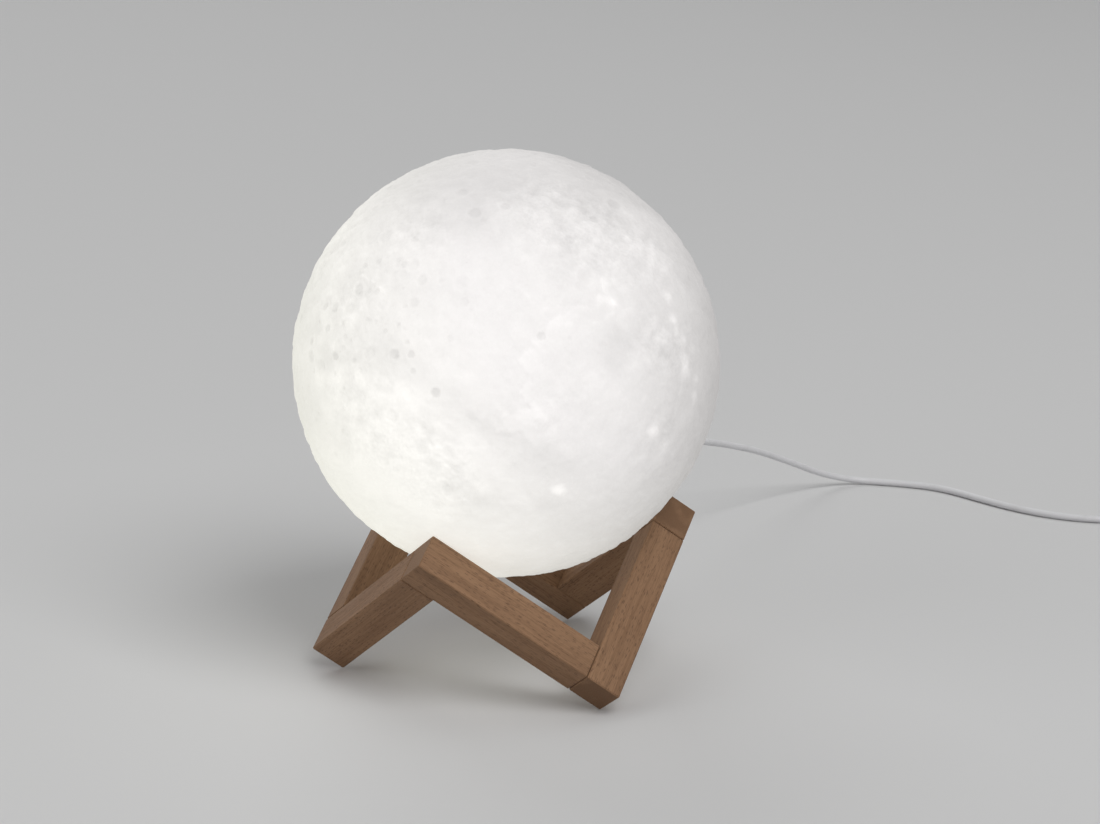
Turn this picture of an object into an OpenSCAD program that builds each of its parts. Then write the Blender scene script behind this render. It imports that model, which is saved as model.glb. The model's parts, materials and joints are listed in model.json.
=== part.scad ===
// Moon lamp: a hollow printed globe with its light module, resting on a ring of six
// wooden bars. Millimetres, +Z up, origin on the table under the stand's axis.

/* [Globe] */
// Outer diameter of the globe
globe_d = 150; // [140:1:170]
// Wall thickness of the globe
globe_wall = 2.2; // [1.6:0.1:3]
// Radius of the lip that the neck ring rests on the globe with
lip_r = 22.5; // [22:0.1:24]
// Thickness of that lip
lip_t = 0.8; // [0.6:0.1:1]
// Depth of the lip's top below the globe's surface at its rim
lip_sink = 0.4; // [0.2:0.1:0.5]
// Depth of the largest craters in the globe's surface
crater_depth = 0.4; // [0.2:0.05:0.6]
// Azimuth of the light module's axis, from +X
module_az = 60; // [50:1:70]
// Angle of the module's axis below level
module_dip = 24; // [18:1:30]

/* [Stand] */
// Width of each square bar
bar_w = 13.5; // [12:0.1:15]
// Length of each bar, as a share of the globe's diameter
bar_share = 0.473; // [0.45:0.001:0.5]
// Chamfer along the bars' edges
bar_ease = 0.4; // [0.2:0.1:1]
// Open gap that the glued corner joints show
joint_gap = 0.2; // [0.05:0.05:0.4]
// Diameter of the corner dowels
dowel_d = 5; // [4:0.5:6]
// Depth of a dowel in the end of a bar
dowel_end = 10; // [8:0.5:14]
// Depth of a dowel in the side of a bar
dowel_side = 8; // [6:0.5:10]
// Gap between the globe and the stand's upper corners
seat_gap = 0.15; // [0.05:0.05:0.3]

/* [Light module] */
// Outer radius of the neck ring
neck_r = 20.8; // [20.5:0.1:21.2]
// Wall of the neck ring
neck_wall = 2.3; // [1.8:0.1:2.5]
// Length of the neck ring under its lip
neck_l = 10; // [8:0.5:12]
// Length of the housing under its flange
cup_l = 32; // [31:0.5:36]
// Wall of the housing
cup_wall = 1.6; // [1.2:0.1:2]
// Radius of the housing's flange
flange_r = 20.6; // [20:0.1:21.5]
// Thickness of the housing's flange
flange_t = 1.6; // [1.2:0.1:2]
// Inner radius of the touch ring
touch_in = 12; // [11.5:0.1:12.5]
// Outer radius of the touch ring
touch_out = 19.6; // [18.5:0.1:20]
// Thickness of the touch ring
touch_t = 1; // [0.8:0.1:1.5]
// Thickness of the inner cap
cap_t = 2; // [1.6:0.1:3]
// Radius of the screw circle in the inner cap
screw_pcd_r = 13.7; // [13.2:0.1:13.9]
// Shank diameter of the cap screws
screw_d = 2; // [1.8:0.1:2.2]
// Length of the cap screws' shanks
screw_l = 8; // [6:0.5:10]
// Head diameter of the cap screws
screw_head_d = 3.8; // [3.4:0.1:4]
// Head height of the cap screws
screw_head_h = 1.2; // [1:0.1:1.6]
// Outer radius of the diffuser dome
dome_r = 17.2; // [16.8:0.1:17.6]
// Wall of the diffuser dome
dome_wall = 1.2; // [1:0.1:1.4]
// Straight skirt of the diffuser dome
dome_skirt = 4; // [3:0.5:8]
// Radius of the LED board
led_board_r = 10.5; // [10:0.1:11]
// Thickness of the two circuit boards
board_t = 1.6; // [1:0.1:2]
// Width of the control board
board_w = 28; // [26:0.5:29]
// Length of the control board
board_l = 24; // [20:0.5:26]
// Width of the battery cell
cell_w = 21; // [18:0.5:22]
// Thickness of the battery cell
cell_t = 5; // [4:0.1:5.4]
// Length of the battery cell
cell_l = 22; // [18:0.5:26]
// Thickness of the foam pad under the cell
pad_t = 1; // [0.8:0.1:1.4]

/* [Socket and plug] */
// Width of the socket's square body
jack_w = 7; // [6:0.1:8]
// Length of the socket's body
jack_l = 12; // [11.5:0.1:14]
// Outer diameter of the plug's barrel
barrel_d = 3.5; // [3.3:0.1:4]
// Bore of the plug's barrel
barrel_bore = 1.5; // [1.35:0.05:1.7]
// Length of the plug's barrel outside its grip
barrel_l = 9.5; // [8:0.1:10]
// Diameter of the plug's grip
grip_d = 8.4; // [8:0.1:10]
// Length of the plug's grip
grip_l = 20; // [18:0.5:22]
// Length of the tapered strain relief
relief_l = 11; // [10:0.5:13]
// Diameter of the strain relief at the grip
relief_d = 6; // [5.4:0.1:6.4]

/* [Lead] */
// Diameter of the lead
cord_d = 2.8; // [2.6:0.1:3]
// Turns in each of the coil's two layers
coil_turns = 3; // [2:1:3]
// Radius of the coil's innermost turn
coil_in_r = 10.2; // [9.6:0.2:10.8]
// Clear space between neighbouring turns
coil_gap = 0.6; // [0.5:0.1:0.9]
// Thickness of the tie round the coil
tie_t = 0.8; // [0.6:0.1:1.2]
// Width of the tie, as an angle round the coil's middle
tie_arc = 22; // [16:1:28]
// Width of the USB plug's grip
usb_w = 15.6; // [14:0.1:17]
// Height of the USB plug's grip
usb_h = 8; // [7:0.1:8.4]
// Length of the USB plug's grip
usb_l = 22; // [18:0.5:26]
// Length of the tapered end of that grip
usb_taper_l = 11; // [10:0.5:14]
// Length of the USB plug's metal shell outside the grip
usb_shell_l = 12; // [11:0.1:13]
// Width of the metal shell
usb_shell_w = 12; // [11.8:0.1:12.2]
// Height of the metal shell
usb_shell_h = 4.5; // [4.4:0.1:4.6]
// Sheet thickness of the metal shell
usb_sheet = 0.3; // [0.2:0.05:0.4]

/* [Hidden] */
$fn = 96;

// Named clearances
eps = 0.01;
glue_gap = 0.05;       // round a glued joint
slide_gap = 0.15;      // round a piece that is pushed in by hand
rest_gap = 0.05;       // between stacked flat faces
bore_gap = 0.05;       // round a dowel or a screw's shank
plug_gap = 0.1;        // between barrel and socket, radial
face_gap = 0.3;        // between the plug's grip and the housing

wood = "#a8784c";
lit_white = "#f4f1e6";
plastic_white = "#e9e8e4";
board_green = "#2f6b46";

// ---- Stand ------------------------------------------------------------------
// The bars lie on edges of a cube of side cube_w that stands on one corner.
bar_l = globe_d * bar_share;
cube_w = bar_l + bar_w;
tilt = atan(sqrt(2));
// Where three eased edges meet, a corner ends this many times bar_ease short of the sharp one
corner_cut = 1.5;
foot_up = (bar_l + corner_cut * bar_ease) / sqrt(3);

// Height of a point of the cube above its lowest corner, and its distance from the axis
function up_of(p) = (p.x + p.y + p.z) / sqrt(3);
function out_of(p) = sqrt(p * p - up_of(p) * up_of(p));

// The points of an upper corner, with its chamfers, that a globe of radius r may meet
rest_points = [[cube_w, bar_w - bar_ease, cube_w - bar_ease],
  [cube_w - bar_ease, bar_w, cube_w - bar_ease], [cube_w - bar_ease, bar_w - bar_ease, cube_w]];
function seat_height(r) = max([for (p = rest_points) up_of(p) - foot_up + sqrt(r * r - out_of(p) ^ 2)]);

// Craters that stand out on the globe's front: azimuth, angle above level and radius
front_craters = [[-126, 13.5, 2], [-121, 14, 1.5], [-113.5, 5, 1.9], [-122.5, 17, 1.1],
  [-120, 10, 1.2], [-110.5, 19, 1.4], [-146.5, 10, 1.9], [-152.5, 16, 1.8], [-144.5, 28, 1.9],
  [-144, 43.5, 3.2], [-130, 37, 1.5], [-146, 34.5, 1.3], [-96.5, 57.5, 1.9], [-153, 5.5, 3.2],
  [-126, 5.5, 1.7], [-86, 20, 1.7], [-121, 62, 2.6], [-110, 55, 2.4], [-128, 49.5, 2.4],
  [-131, 44.5, 1.5], [-133, 25.5, 2.4], [-52, 17.5, 1.8], [-51, 22.5, 1.3], [-57, 51.5, 1.9],
  [-46, 8, 2], [-126, 21, 1.1], [-130, 19, 1.1], [-139, 10, 1.2], [-146, 18.5, 1.2],
  [-137, 21, 1], [-160, 11, 1.6], [-157, 21, 1.7], [-136.5, 28.5, 1.6], [-107.5, 28.5, 1.7],
  [-141, 36.5, 1.3], [-72, 46, 2], [-38, 55, 3], [-132, -11, 2], [-112, -20, 1.6]];
// Craters on the sides that no view shows, spread at the golden angle
back_count = 80;
golden = 137.508;
back_low = -25;
back_high = 75;
function back_crater(k) = let (a = (golden * k) % 360, u = (k * 0.618034) % 1)
  [a > 180 ? a - 360 : a, asin(sin(back_low) + (sin(back_high) - sin(back_low)) * (k + 0.5)
    / back_count), 1.3 + 2.2 * u * u];
back_craters = [for (k = [0:back_count - 1]) let (c = back_crater(k))
  if ((c.x > 3 || c.x < -163) && c.x < 177) c];
// A crater's rim has its radius, and a ball of radius ball_r cuts it
function dent(c) = crater_depth * min(1, c.z / 2);
function ball_r(c) = (c.z * c.z + dent(c) ^ 2) / (2 * dent(c));

// ---- Globe and module, along the module's own axis from the globe's centre ---
globe_r = globe_d / 2;
globe_z = seat_height(globe_r + seat_gap);
lip_top = sqrt(globe_r ^ 2 - lip_r ^ 2) - lip_sink;
neck_in = neck_r - neck_wall;
cup_r = neck_in - slide_gap;
cup_in = cup_r - cup_wall;
flange_back = lip_top + rest_gap;
face = flange_back + flange_t;
cup_end = flange_back - cup_l;
cap_face = cup_end - cap_t;
touch_back = face + rest_gap;
// The board lies along the axis, under the socket
board_top = -jack_w / 2 - rest_gap;
board_low = board_top - board_t;
board_out = flange_back - 1;
board_in = board_out - board_l;
pad_low = board_low - pad_t;
cell_low = pad_low - cell_t;
cell_out = board_out - 1;
rail_t = 1.2;
rail_in = cell_w / 2 + 0.8;
boss_r = 2.2;
boss_l = 11;
screw_angles = [50, 130, 270];
snap_count = 3;
snap_h = 0.5;
snap_w = 7;
snap_l = 3;
lens_d = 3;
lens_pos = [8.4, 1];
lens_collar = 1;
contact_d = 1.6;
contact_pos = [13.2, (board_top + board_low) / 2];
wire_d = 1.1;
wire_x = 2;
chip = [3.5, 2.8, 0.8];
chip_ring_r = 6.8;
chip_count = 6;

// Plug
grip_face = face + face_gap;
relief_end = grip_face + grip_l + relief_l;
socket_bore_d = barrel_d + 2 * plug_gap;
pin_d = barrel_bore - 2 * plug_gap;
barrel_root = 4;

relief_tip_d = cord_d + 1;
relief_slots = 3;
grip_ribs = 3;
nose_d = 6;
usb_root = 4;
led_face = cap_face - rest_gap - board_t;
// Parts on the control board: place across and along it, as shares of the clear space between
// the rails, and size
board_chips = [[-0.62, 0.36, [5, 1.4, 6]], [-0.72, 0.72, [3, 1, 2]], [0.72, 0.82, [3.2, 1.2, 2.6]]];
coil_part = [0.7, 0.3];
coil_part_d = 5.2;
coil_part_h = 2.6;

// Direction of the module's axis, and a point at distance s along it
module_dir = [cos(module_dip) * cos(module_az), cos(module_dip) * sin(module_az), -sin(module_dip)];
function along(s) = [0, 0, globe_z] + s * module_dir;

// ---- Lead -------------------------------------------------------------------
cord_r = cord_d / 2;
// Points that the free stretch passes through after the strain relief, chosen by hand
lead_route = [
  [54.6, 94.6, 63.4], [65, 111.5, 57.2], [77.5, 128.5, 50.5], [91, 146.5, 43.8],
  [104.7, 164.3, 37.6], [113.6, 176.5, 33], [122.2, 186.8, 28.7], [131, 196.6, 23.9],
  [139.8, 206, 18.8], [148.7, 214.9, 13.6], [157.3, 222.4, 8.8], [165.8, 228.1, 5.1],
  [173.6, 231.2, 2.8], [181, 231.8, 1.7], [188, 230, 1.5], [194.5, 227.7, 1.5],
  [201, 225, 1.5], [207.5, 221.5, 1.5], [213.5, 216.6, 1.5], [219.2, 209.8, 1.5],
  [226, 200, 1.5], [235, 188, 1.5], [246, 177, 1.5], [259, 169, 1.5],
  [273, 165, 1.5], [287, 165, 1.7], [298, 165, 2.4], [303, 165, 2.4], [308, 165, 2.4]];
// The coil begins along +X, winds to the left and ends along +Y, beside its outer turn
coil_start = lead_route[len(lead_route) - 1];
turn_pitch = cord_d + coil_gap;
coil_out_r = coil_in_r + coil_turns * turn_pitch;
coil_centre = coil_start + [cord_d, coil_out_r, 0];
coil_steps = 24;
coil_middle = 360 * coil_turns;
coil_end = 2 * coil_middle + 90;
reversal_blend = 30;
usb_z = usb_h / 2 + 0.1;
coil_out_run = 17;
coil_out_flat = 3;

// Radius and height of the coil's centreline at the winding angle a: in on the lower layer,
// out on the upper one, with the climb in the half turn where it reverses
function wind_r(a) = coil_in_r + turn_pitch * sqrt((a - coil_middle) ^ 2 + reversal_blend ^ 2) / 360;
function ease(t) = let (u = min(1, max(0, t))) u * u * (3 - 2 * u);
function wind_z(a) = turn_pitch * ease((a - coil_middle + 90) / 180);
wind_shift = wind_r(0) - coil_out_r;
function wind_point(a) = coil_centre
  + [wind_r(a) * sin(a), wind_shift - wind_r(a) * cos(a), wind_z(a)];
coil_last = wind_point(coil_end);
function out_point(s) = coil_last + [0, s,
  (usb_z - coil_last.z) * ease((s - 4) / (coil_out_run - coil_out_flat - 4))];
coil_path = concat([coil_start],
  [for (a = [0:360 / coil_steps:coil_end]) wind_point(a)],
  [for (s = [2, 5, 8, 11, coil_out_run - coil_out_flat, coil_out_run]) out_point(s)]);
usb_face = out_point(coil_out_run);
lead_points = concat([along(relief_end), along(relief_end + 2 * cord_d)], lead_route);

// The tie goes round the bundle at this winding angle, and its clear space follows the turns
tie_a = 200;
tie_radii = [for (k = [0:2 * coil_turns - 1]) for (h = [-tie_arc, tie_arc])
  wind_r(tie_a + 360 * k + h / 2)];
bundle_in = min(tie_radii) - cord_r - slide_gap;
bundle_out = max(tie_radii) + cord_r + slide_gap;
bundle_low = coil_start.z - cord_r - slide_gap;
bundle_high = coil_start.z + turn_pitch + cord_r + slide_gap;

// Length of a path, and the least gap of a tube to itself between points more than skip apart
function path_length(p, i = 1) = i >= len(p) ? 0 : norm(p[i] - p[i - 1]) + path_length(p, i + 1);
function least_gap(p, skip) = min([for (i = [0:len(p) - 1 - skip]) for (j = [i + skip:len(p) - 1])
  norm(p[i] - p[j])]) - cord_d;
// A smooth curve through points, with n steps between two of them
function point(p, i) = p[min(max(i, 0), len(p) - 1)];
function between(a, b, c, d, t) = 0.5 * (2 * b + (c - a) * t + (2 * a - 5 * b + 4 * c - d) * t * t
  + (3 * b - a - 3 * c + d) * t * t * t);
function smooth(p, n) = concat([for (i = [0:len(p) - 2]) for (k = [0:n - 1])
  between(point(p, i - 1), p[i], p[i + 1], point(p, i + 2), k / n)], [p[len(p) - 1]]);
lead_path = smooth(lead_points, 2);
echo(globe_z = globe_z, relief_end = along(relief_end), usb_face = usb_face);
echo(coil_least_gap = least_gap(coil_path, coil_steps / 2));
echo(lead_length = path_length(lead_path), coil_length = path_length(coil_path));

// Tube of `sides` sides swept along a path: a polyhedron with its rings square to the path
function unit(v) = v / norm(v);
function heading(p, i) = unit(p[min(i + 1, len(p) - 1)] - p[max(i - 1, 0)]);
function ring_points(p, i, r, sides) =
  let (t = heading(p, i), side = unit(cross([0, 0, 1], t)), top = cross(t, side))
  [for (k = [0:sides - 1]) p[i] + r * (cos(360 * k / sides) * side + sin(360 * k / sides) * top)];
module tube(p, r, sides) {
  n = len(p);
  corners = [for (i = [0:n - 1]) each ring_points(p, i, r, sides)];
  walls = [for (i = [0:n - 2]) for (k = [0:sides - 1])
    let (a = i * sides + k, b = i * sides + (k + 1) % sides)
    each [[a, b, b + sides], [a, b + sides, a + sides]]];
  start = [[for (k = [0:sides - 1]) sides - 1 - k]];
  end = [[for (k = [0:sides - 1]) (n - 1) * sides + k]];
  polyhedron([for (c = corners) c], [for (f = concat(walls, start, end)) [for (v = f) v]]);
}

// Frames: the cube's axes, and the module's axis as +Z from the globe's centre
module in_cube() {
  translate([0, 0, -foot_up]) rotate([0, -tilt, 0]) rotate([0, 0, -45]) children();
}
module in_globe() {
  translate([0, 0, globe_z]) rotate([0, 90 + module_dip, module_az]) children();
}
module turned(k) {
  rotate([0, 0, 120 * k]) children();
}

module ring(r_out, r_in, z0, z1) {
  translate([0, 0, z0]) difference() {
    cylinder(h = z1 - z0, r = r_out);
    translate([0, 0, -eps]) cylinder(h = z1 - z0 + 2 * eps, r = r_in);
  }
}
module rod(d, z0, z1) {
  translate([0, 0, z0]) cylinder(h = z1 - z0, d = d);
}
module block(size, at) {
  translate(at - [size.x / 2, size.y / 2, 0]) cube(size);
}

// ---- Stand ------------------------------------------------------------------
// One bar along +Z from the origin, in the quadrant +X +Y, with eased long edges. Its lower end
// butts against the next bar, and the bar before it butts against its face x = 0 at the top.
module eased_square() {
  e = bar_ease;
  w = bar_w;
  polygon([[e, 0], [w - e, 0], [w, e], [w, w - e], [w - e, w], [e, w], [0, w - e], [0, e]]);
}
// The bar's outline from one side, with both ends eased too
module eased_ends() {
  e = bar_ease;
  w = bar_w;
  low = joint_gap;
  high = bar_l;
  translate([0, bar_w, 0]) rotate([90, 0, 0]) linear_extrude(bar_w) polygon([[e, low], [w - e, low],
    [w, low + e], [w, high - e], [w - e, high], [e, high], [0, high - e], [0, low + e]]);
}
module bar() {
  hole_d = dowel_d + 2 * bore_gap;
  color(wood) difference() {
    intersection() {
      linear_extrude(bar_l) eased_square();
      eased_ends();
      translate([bar_w, 0, 0]) rotate([0, 0, 90]) eased_ends();
    }
    translate([bar_w / 2, bar_w / 2, -eps]) cylinder(h = dowel_end + eps, d = hole_d);
    translate([-eps, bar_w / 2, bar_l - bar_w / 2]) rotate([0, 90, 0])
      cylinder(h = dowel_side + eps, d = hole_d);
  }
}
module dowel() {
  color("#c9a06c") translate([bar_w / 2, bar_w / 2, bore_gap - dowel_side])
    cylinder(h = dowel_end + dowel_side - 2 * bore_gap, d = dowel_d);
}
// Bars alternate between two places, which repeat at every third of a turn
module place_a(k) {
  turned(k) in_cube() translate([bar_l, 0, bar_w]) children();
}
module place_b(k) {
  turned(k) in_cube() translate([bar_l, bar_l, bar_w]) rotate([90, 90, 0]) children();
}
module front_bar() {
  place_a(0) bar();
}
module back_right_bar() {
  place_a(1) bar();
}
module back_left_bar() {
  place_a(2) bar();
}
module right_bar() {
  place_b(0) bar();
}
module back_bar() {
  place_b(1) bar();
}
module left_bar() {
  place_b(2) bar();
}
module corner_dowels() {
  for (k = [0:2]) {
    place_a(k) dowel();
    place_b(k) dowel();
  }
}

// ---- Globe and its neck -----------------------------------------------------
module globe_shell() {
  color(lit_white) difference() {
    translate([0, 0, globe_z]) sphere(globe_r);
    translate([0, 0, globe_z]) sphere(globe_r - globe_wall);
    in_globe() rod(2 * (neck_r + glue_gap), lip_top - lip_t - neck_l, globe_r + 1);
    in_globe() rod(2 * (lip_r + glue_gap), lip_top - lip_t, globe_r + 1);
    translate([0, 0, globe_z]) for (c = concat(front_craters, back_craters))
      rotate([0, -c.y, c.x]) translate([globe_r - dent(c) + ball_r(c), 0, 0]) sphere(ball_r(c));
  }
}
module neck_ring() {
  color(plastic_white) in_globe() {
    ring(neck_r, neck_in, lip_top - lip_t - neck_l, lip_top);
    ring(lip_r, neck_in, lip_top - lip_t, lip_top);
  }
}

// ---- Light module -----------------------------------------------------------
module snap_lug() {
  z = lip_top - lip_t - neck_l - slide_gap;
  a = 2 * asin(snap_w / 2 / cup_r);
  rotate([0, 0, -a / 2]) rotate_extrude(angle = a)
    polygon([[cup_r - 0.5, z], [cup_r + snap_h, z], [cup_r, z - snap_l], [cup_r - 0.5, z - snap_l]]);
}
module screw_places() {
  for (a = screw_angles) rotate([0, 0, a]) translate([screw_pcd_r, 0, 0]) children();
}
module screw_boss() {
  rod(2 * boss_r, cup_end, cup_end + boss_l);
  translate([0, -1.2, cup_end]) cube([cup_in + cup_wall / 2 - screw_pcd_r, 2.4, boss_l]);
}
module board_rails() {
  rail_z = flange_back - board_in + 2;
  intersection() {
    rod(2 * (cup_in + cup_wall / 2), cup_end, flange_back);
    for (side = [-1, 1]) for (y = [board_top + bore_gap, board_low - bore_gap - rail_t])
      translate([side > 0 ? rail_in : -rail_in - cup_r, y, flange_back - rail_z])
        cube([cup_r, rail_t, rail_z + eps]);
  }
}
module module_housing() {
  color(plastic_white) in_globe() difference() {
    union() {
      rod(2 * flange_r, flange_back, face);
      ring(cup_r, cup_in, cup_end, flange_back + eps);
      screw_places() screw_boss();
      board_rails();
      for (k = [1:snap_count]) rotate([0, 0, 360 * k / snap_count]) snap_lug();
    }
    rod(nose_d + 2 * bore_gap, flange_back - eps, face + eps);
    translate(lens_pos) rod(lens_d + 2 * bore_gap, flange_back - eps, face + eps);
    translate(contact_pos) rod(contact_d + 2 * bore_gap, flange_back - eps, face + eps);
    screw_places() rod(screw_d + 2 * bore_gap, cup_end - eps, cup_end + screw_l - cap_t + 1);
  }
}
module touch_ring() {
  c = 0.3;
  color("silver") in_globe() translate([0, 0, touch_back]) rotate_extrude()
    polygon([[touch_in, 0], [touch_out, 0], [touch_out, touch_t - c], [touch_out - c, touch_t],
      [touch_in + c, touch_t], [touch_in, touch_t - c]]);
}
module touch_contact() {
  color("gold") in_globe() translate(contact_pos) rod(contact_d, board_out + bore_gap, face);
}
module power_socket() {
  back = flange_back - rest_gap - jack_l;
  color("#303030") in_globe() {
    difference() {
      union() {
        block([jack_w, jack_w, jack_l], [0, 0, back]);
        rod(nose_d, back + jack_l - eps, face);
      }
      rod(socket_bore_d, face - barrel_l - 1, face + eps);
    }
    rod(pin_d, face - barrel_l - 1 - eps, face - 2);
  }
}
module indicator_lens() {
  color("#cfe8ff") in_globe() translate(lens_pos) {
    rod(lens_d, flange_back - rest_gap - eps, face);
    rod(lens_d + 1.4, flange_back - rest_gap - lens_collar, flange_back - rest_gap);
  }
}
module control_board() {
  color(board_green) in_globe() {
    translate([-board_w / 2, board_low, board_in]) cube([board_w, board_t, board_l]);
    for (c = board_chips) translate([c[0] * rail_in - c[2].x / 2, board_top - eps,
      board_in + c[1] * board_l - c[2].z / 2]) cube(c[2]);
    translate([coil_part.x * rail_in, board_top - eps, board_in + coil_part.y * board_l])
      rotate([-90, 0, 0]) cylinder(h = coil_part_h, d = coil_part_d);
  }
}
module battery_cell() {
  r = cell_t / 2;
  color("#b8bcc4") in_globe() translate([0, cell_low, cell_out - cell_l]) {
    translate([r - cell_w / 2, 0, 0]) cube([cell_w - 2 * r, cell_t, cell_l]);
    for (side = [-1, 1]) translate([side * (cell_w / 2 - r), r, 0]) cylinder(h = cell_l, r = r);
  }
}
module battery_pad() {
  color("#404040") in_globe()
    translate([2 - cell_w / 2, pad_low, cell_out - cell_l + 2]) cube([cell_w - 4, pad_t, cell_l - 4]);
}
module inner_cap() {
  color(plastic_white) in_globe() difference() {
    union() {
      rod(2 * cup_r, cap_face, cup_end - rest_gap);
      ring(cup_r, dome_r + slide_gap, cap_face - 1.5, cap_face + eps);
    }
    screw_places() rod(screw_d + 4 * bore_gap, cap_face - eps, cup_end);
    for (x = [-wire_x, wire_x]) translate([x, contact_pos.y])
      rod(wire_d + 0.4, cap_face - eps, cup_end);
  }
}
module cap_screws() {
  color("silver") in_globe() screw_places() difference() {
    union() {
      rod(screw_d, cap_face - rest_gap - eps, cap_face - rest_gap + screw_l);
      rod(screw_head_d, cap_face - rest_gap - screw_head_h, cap_face - rest_gap);
    }
    for (a = [0, 90]) rotate([0, 0, a]) translate([0, 0, cap_face - rest_gap - screw_head_h])
      block([screw_head_d * 0.6, 0.5, screw_head_h], [0, 0, -screw_head_h / 2]);
  }
}
module led_board() {
  color("white") in_globe() rod(2 * led_board_r, led_face, cap_face - rest_gap);
}
module led_chips() {
  color("#ffe9a8") in_globe() {
    block(chip, [0, 0, led_face - rest_gap - chip.z]);
    for (k = [1:chip_count]) rotate([0, 0, 360 * k / chip_count])
      block(chip, [chip_ring_r, 0, led_face - rest_gap - chip.z]);
  }
}
module half_capsule(r, h) {
  intersection() {
    union() {
      circle(r);
      square([r, h]);
    }
    translate([0, -r]) square([r, r + h]);
  }
}
module light_diffuser() {
  color("#f6f6f4") in_globe() translate([0, 0, cap_face - rest_gap - dome_skirt])
    rotate_extrude() difference() {
      half_capsule(dome_r, dome_skirt);
      half_capsule(dome_r - dome_wall, dome_skirt + eps);
    }
}
module wire(points) {
  for (i = [1:len(points) - 1]) let (a = points[i - 1], b = points[i], d = b - a) {
    translate(a) rotate([0, acos(d.z / norm(d)), atan2(d.y, d.x)]) cylinder(h = norm(d), d = wire_d);
    if (i < len(points) - 1) translate(b) sphere(d = wire_d);
  }
}
module module_wires() {
  y = contact_pos.y;
  cell_y = cell_low + cell_t / 2;
  cell_in = cell_out - cell_l;
  turn = min(cell_in, board_in) - 2 * wire_d;
  color("#b02020") in_globe() for (x = [-wire_x, wire_x]) {
    wire([[x, y, cap_face - rest_gap], [x, y, board_in]]);
    wire([[3 * x, cell_y, cell_in], [3 * x, cell_y, turn], [3 * x, y, turn], [3 * x, y, board_in]]);
  }
}

// ---- Plug and lead ----------------------------------------------------------
module plug_barrel() {
  color("silver") in_globe()
    ring(barrel_d / 2, barrel_bore / 2, grip_face - barrel_l, grip_face + barrel_root);
}
module plug_grip() {
  r = grip_d / 2;
  c = 0.6;
  color(plastic_white) in_globe() difference() {
    translate([0, 0, grip_face]) rotate_extrude() polygon(concat([[0, 0], [r - c, 0], [r, c]],
      [for (k = [0:grip_ribs - 1]) let (z = grip_l * 0.45 + 2.4 * k) each
        [[r, z], [r - 0.5, z + 0.4], [r - 0.5, z + 1.2], [r, z + 1.6]]],
      [[r, grip_l - 2 * c], [r - 2 * c, grip_l], [0, grip_l]]));
    rod(barrel_d + 2 * glue_gap, grip_face - eps, grip_face + barrel_root + glue_gap);
  }
}
module plug_strain_relief() {
  z = grip_face + grip_l;
  slope = (relief_d - relief_tip_d) / 2 / relief_l;
  color(plastic_white) in_globe() translate([0, 0, z]) rotate_extrude()
    polygon(concat([[0, 0], [relief_d / 2, 0]],
      [for (k = [0:relief_slots - 1]) let (a = 1.6 + 2.4 * k, r = relief_d / 2 - slope * a) each
        [[r, a], [r - 0.5, a], [r - 0.5 - slope, a + 1], [r - slope, a + 1]]],
      [[relief_tip_d / 2, relief_l], [0, relief_l]]));
}
module cord_lead() {
  color("#f2f2f0") tube(lead_path, cord_r, 8);
}
module cord_coil() {
  color("#f2f2f0") tube(coil_path, cord_r, 6);
}
module cord_tie() {
  deep = bundle_out - bundle_in;
  high = bundle_high - bundle_low;
  color("#303030") translate([coil_centre.x, coil_centre.y + wind_shift, 0])
    rotate([0, 0, tie_a - 90 - tie_arc / 2]) rotate_extrude(angle = tie_arc) difference() {
      translate([bundle_in - tie_t, bundle_low - tie_t]) square([deep + 2 * tie_t, high + 2 * tie_t]);
      translate([bundle_in, bundle_low]) square([deep, high]);
    }
}

// ---- USB plug, along +Y from the coil's end ---------------------------------
module at_usb(y) {
  translate(usb_face + [0, y, 0]) rotate([-90, 0, 0]) children();
}
module rounded_bar(w, h, l, r) {
  linear_extrude(l) hull() for (x = [r - w / 2, w / 2 - r]) for (y = [r - h / 2, h / 2 - r])
    translate([x, y]) circle(r, $fn = 32);
}
module usb_grip() {
  r = 1.8;
  color(plastic_white) difference() {
    union() {
      at_usb(0) hull() {
        cylinder(h = 0.5, d = relief_tip_d, $fn = 32);
        translate([0, 0, usb_taper_l]) rounded_bar(usb_w - 2, usb_h - 1.4, 0.5, r);
      }
      at_usb(usb_taper_l) rounded_bar(usb_w, usb_h, usb_l, r);
    }
    at_usb(usb_taper_l + usb_l - usb_root) translate([0, 0, eps])
      block([usb_shell_w + 2 * glue_gap, usb_shell_h + 2 * glue_gap, usb_root], [0, 0, 0]);
  }
}
module usb_shell() {
  color("silver") at_usb(usb_taper_l + usb_l - usb_root + glue_gap) difference() {
    block([usb_shell_w, usb_shell_h, usb_root - glue_gap + usb_shell_l], [0, 0, 0]);
    block([usb_shell_w - 2 * usb_sheet, usb_shell_h - 2 * usb_sheet, usb_root + usb_shell_l],
      [0, 0, usb_sheet]);
    for (x = [-2.8, 2.8])
      block([2, usb_shell_h + 1, 2], [x, 0, usb_root + usb_shell_l * 0.42]);
  }
}
module usb_insert() {
  tongue_h = 1.9;
  lining = 2 * (usb_sheet + rest_gap);
  floor_y = (usb_shell_h - lining - tongue_h) / 2;
  color("white") at_usb(usb_taper_l + usb_l - usb_root + glue_gap + usb_sheet + rest_gap) {
    block([usb_shell_w - lining, tongue_h, usb_root + usb_shell_l - 1.5], [0, floor_y, 0]);
    block([usb_shell_w - lining, usb_shell_h - lining, usb_root], [0, 0, 0]);
  }
}

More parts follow.
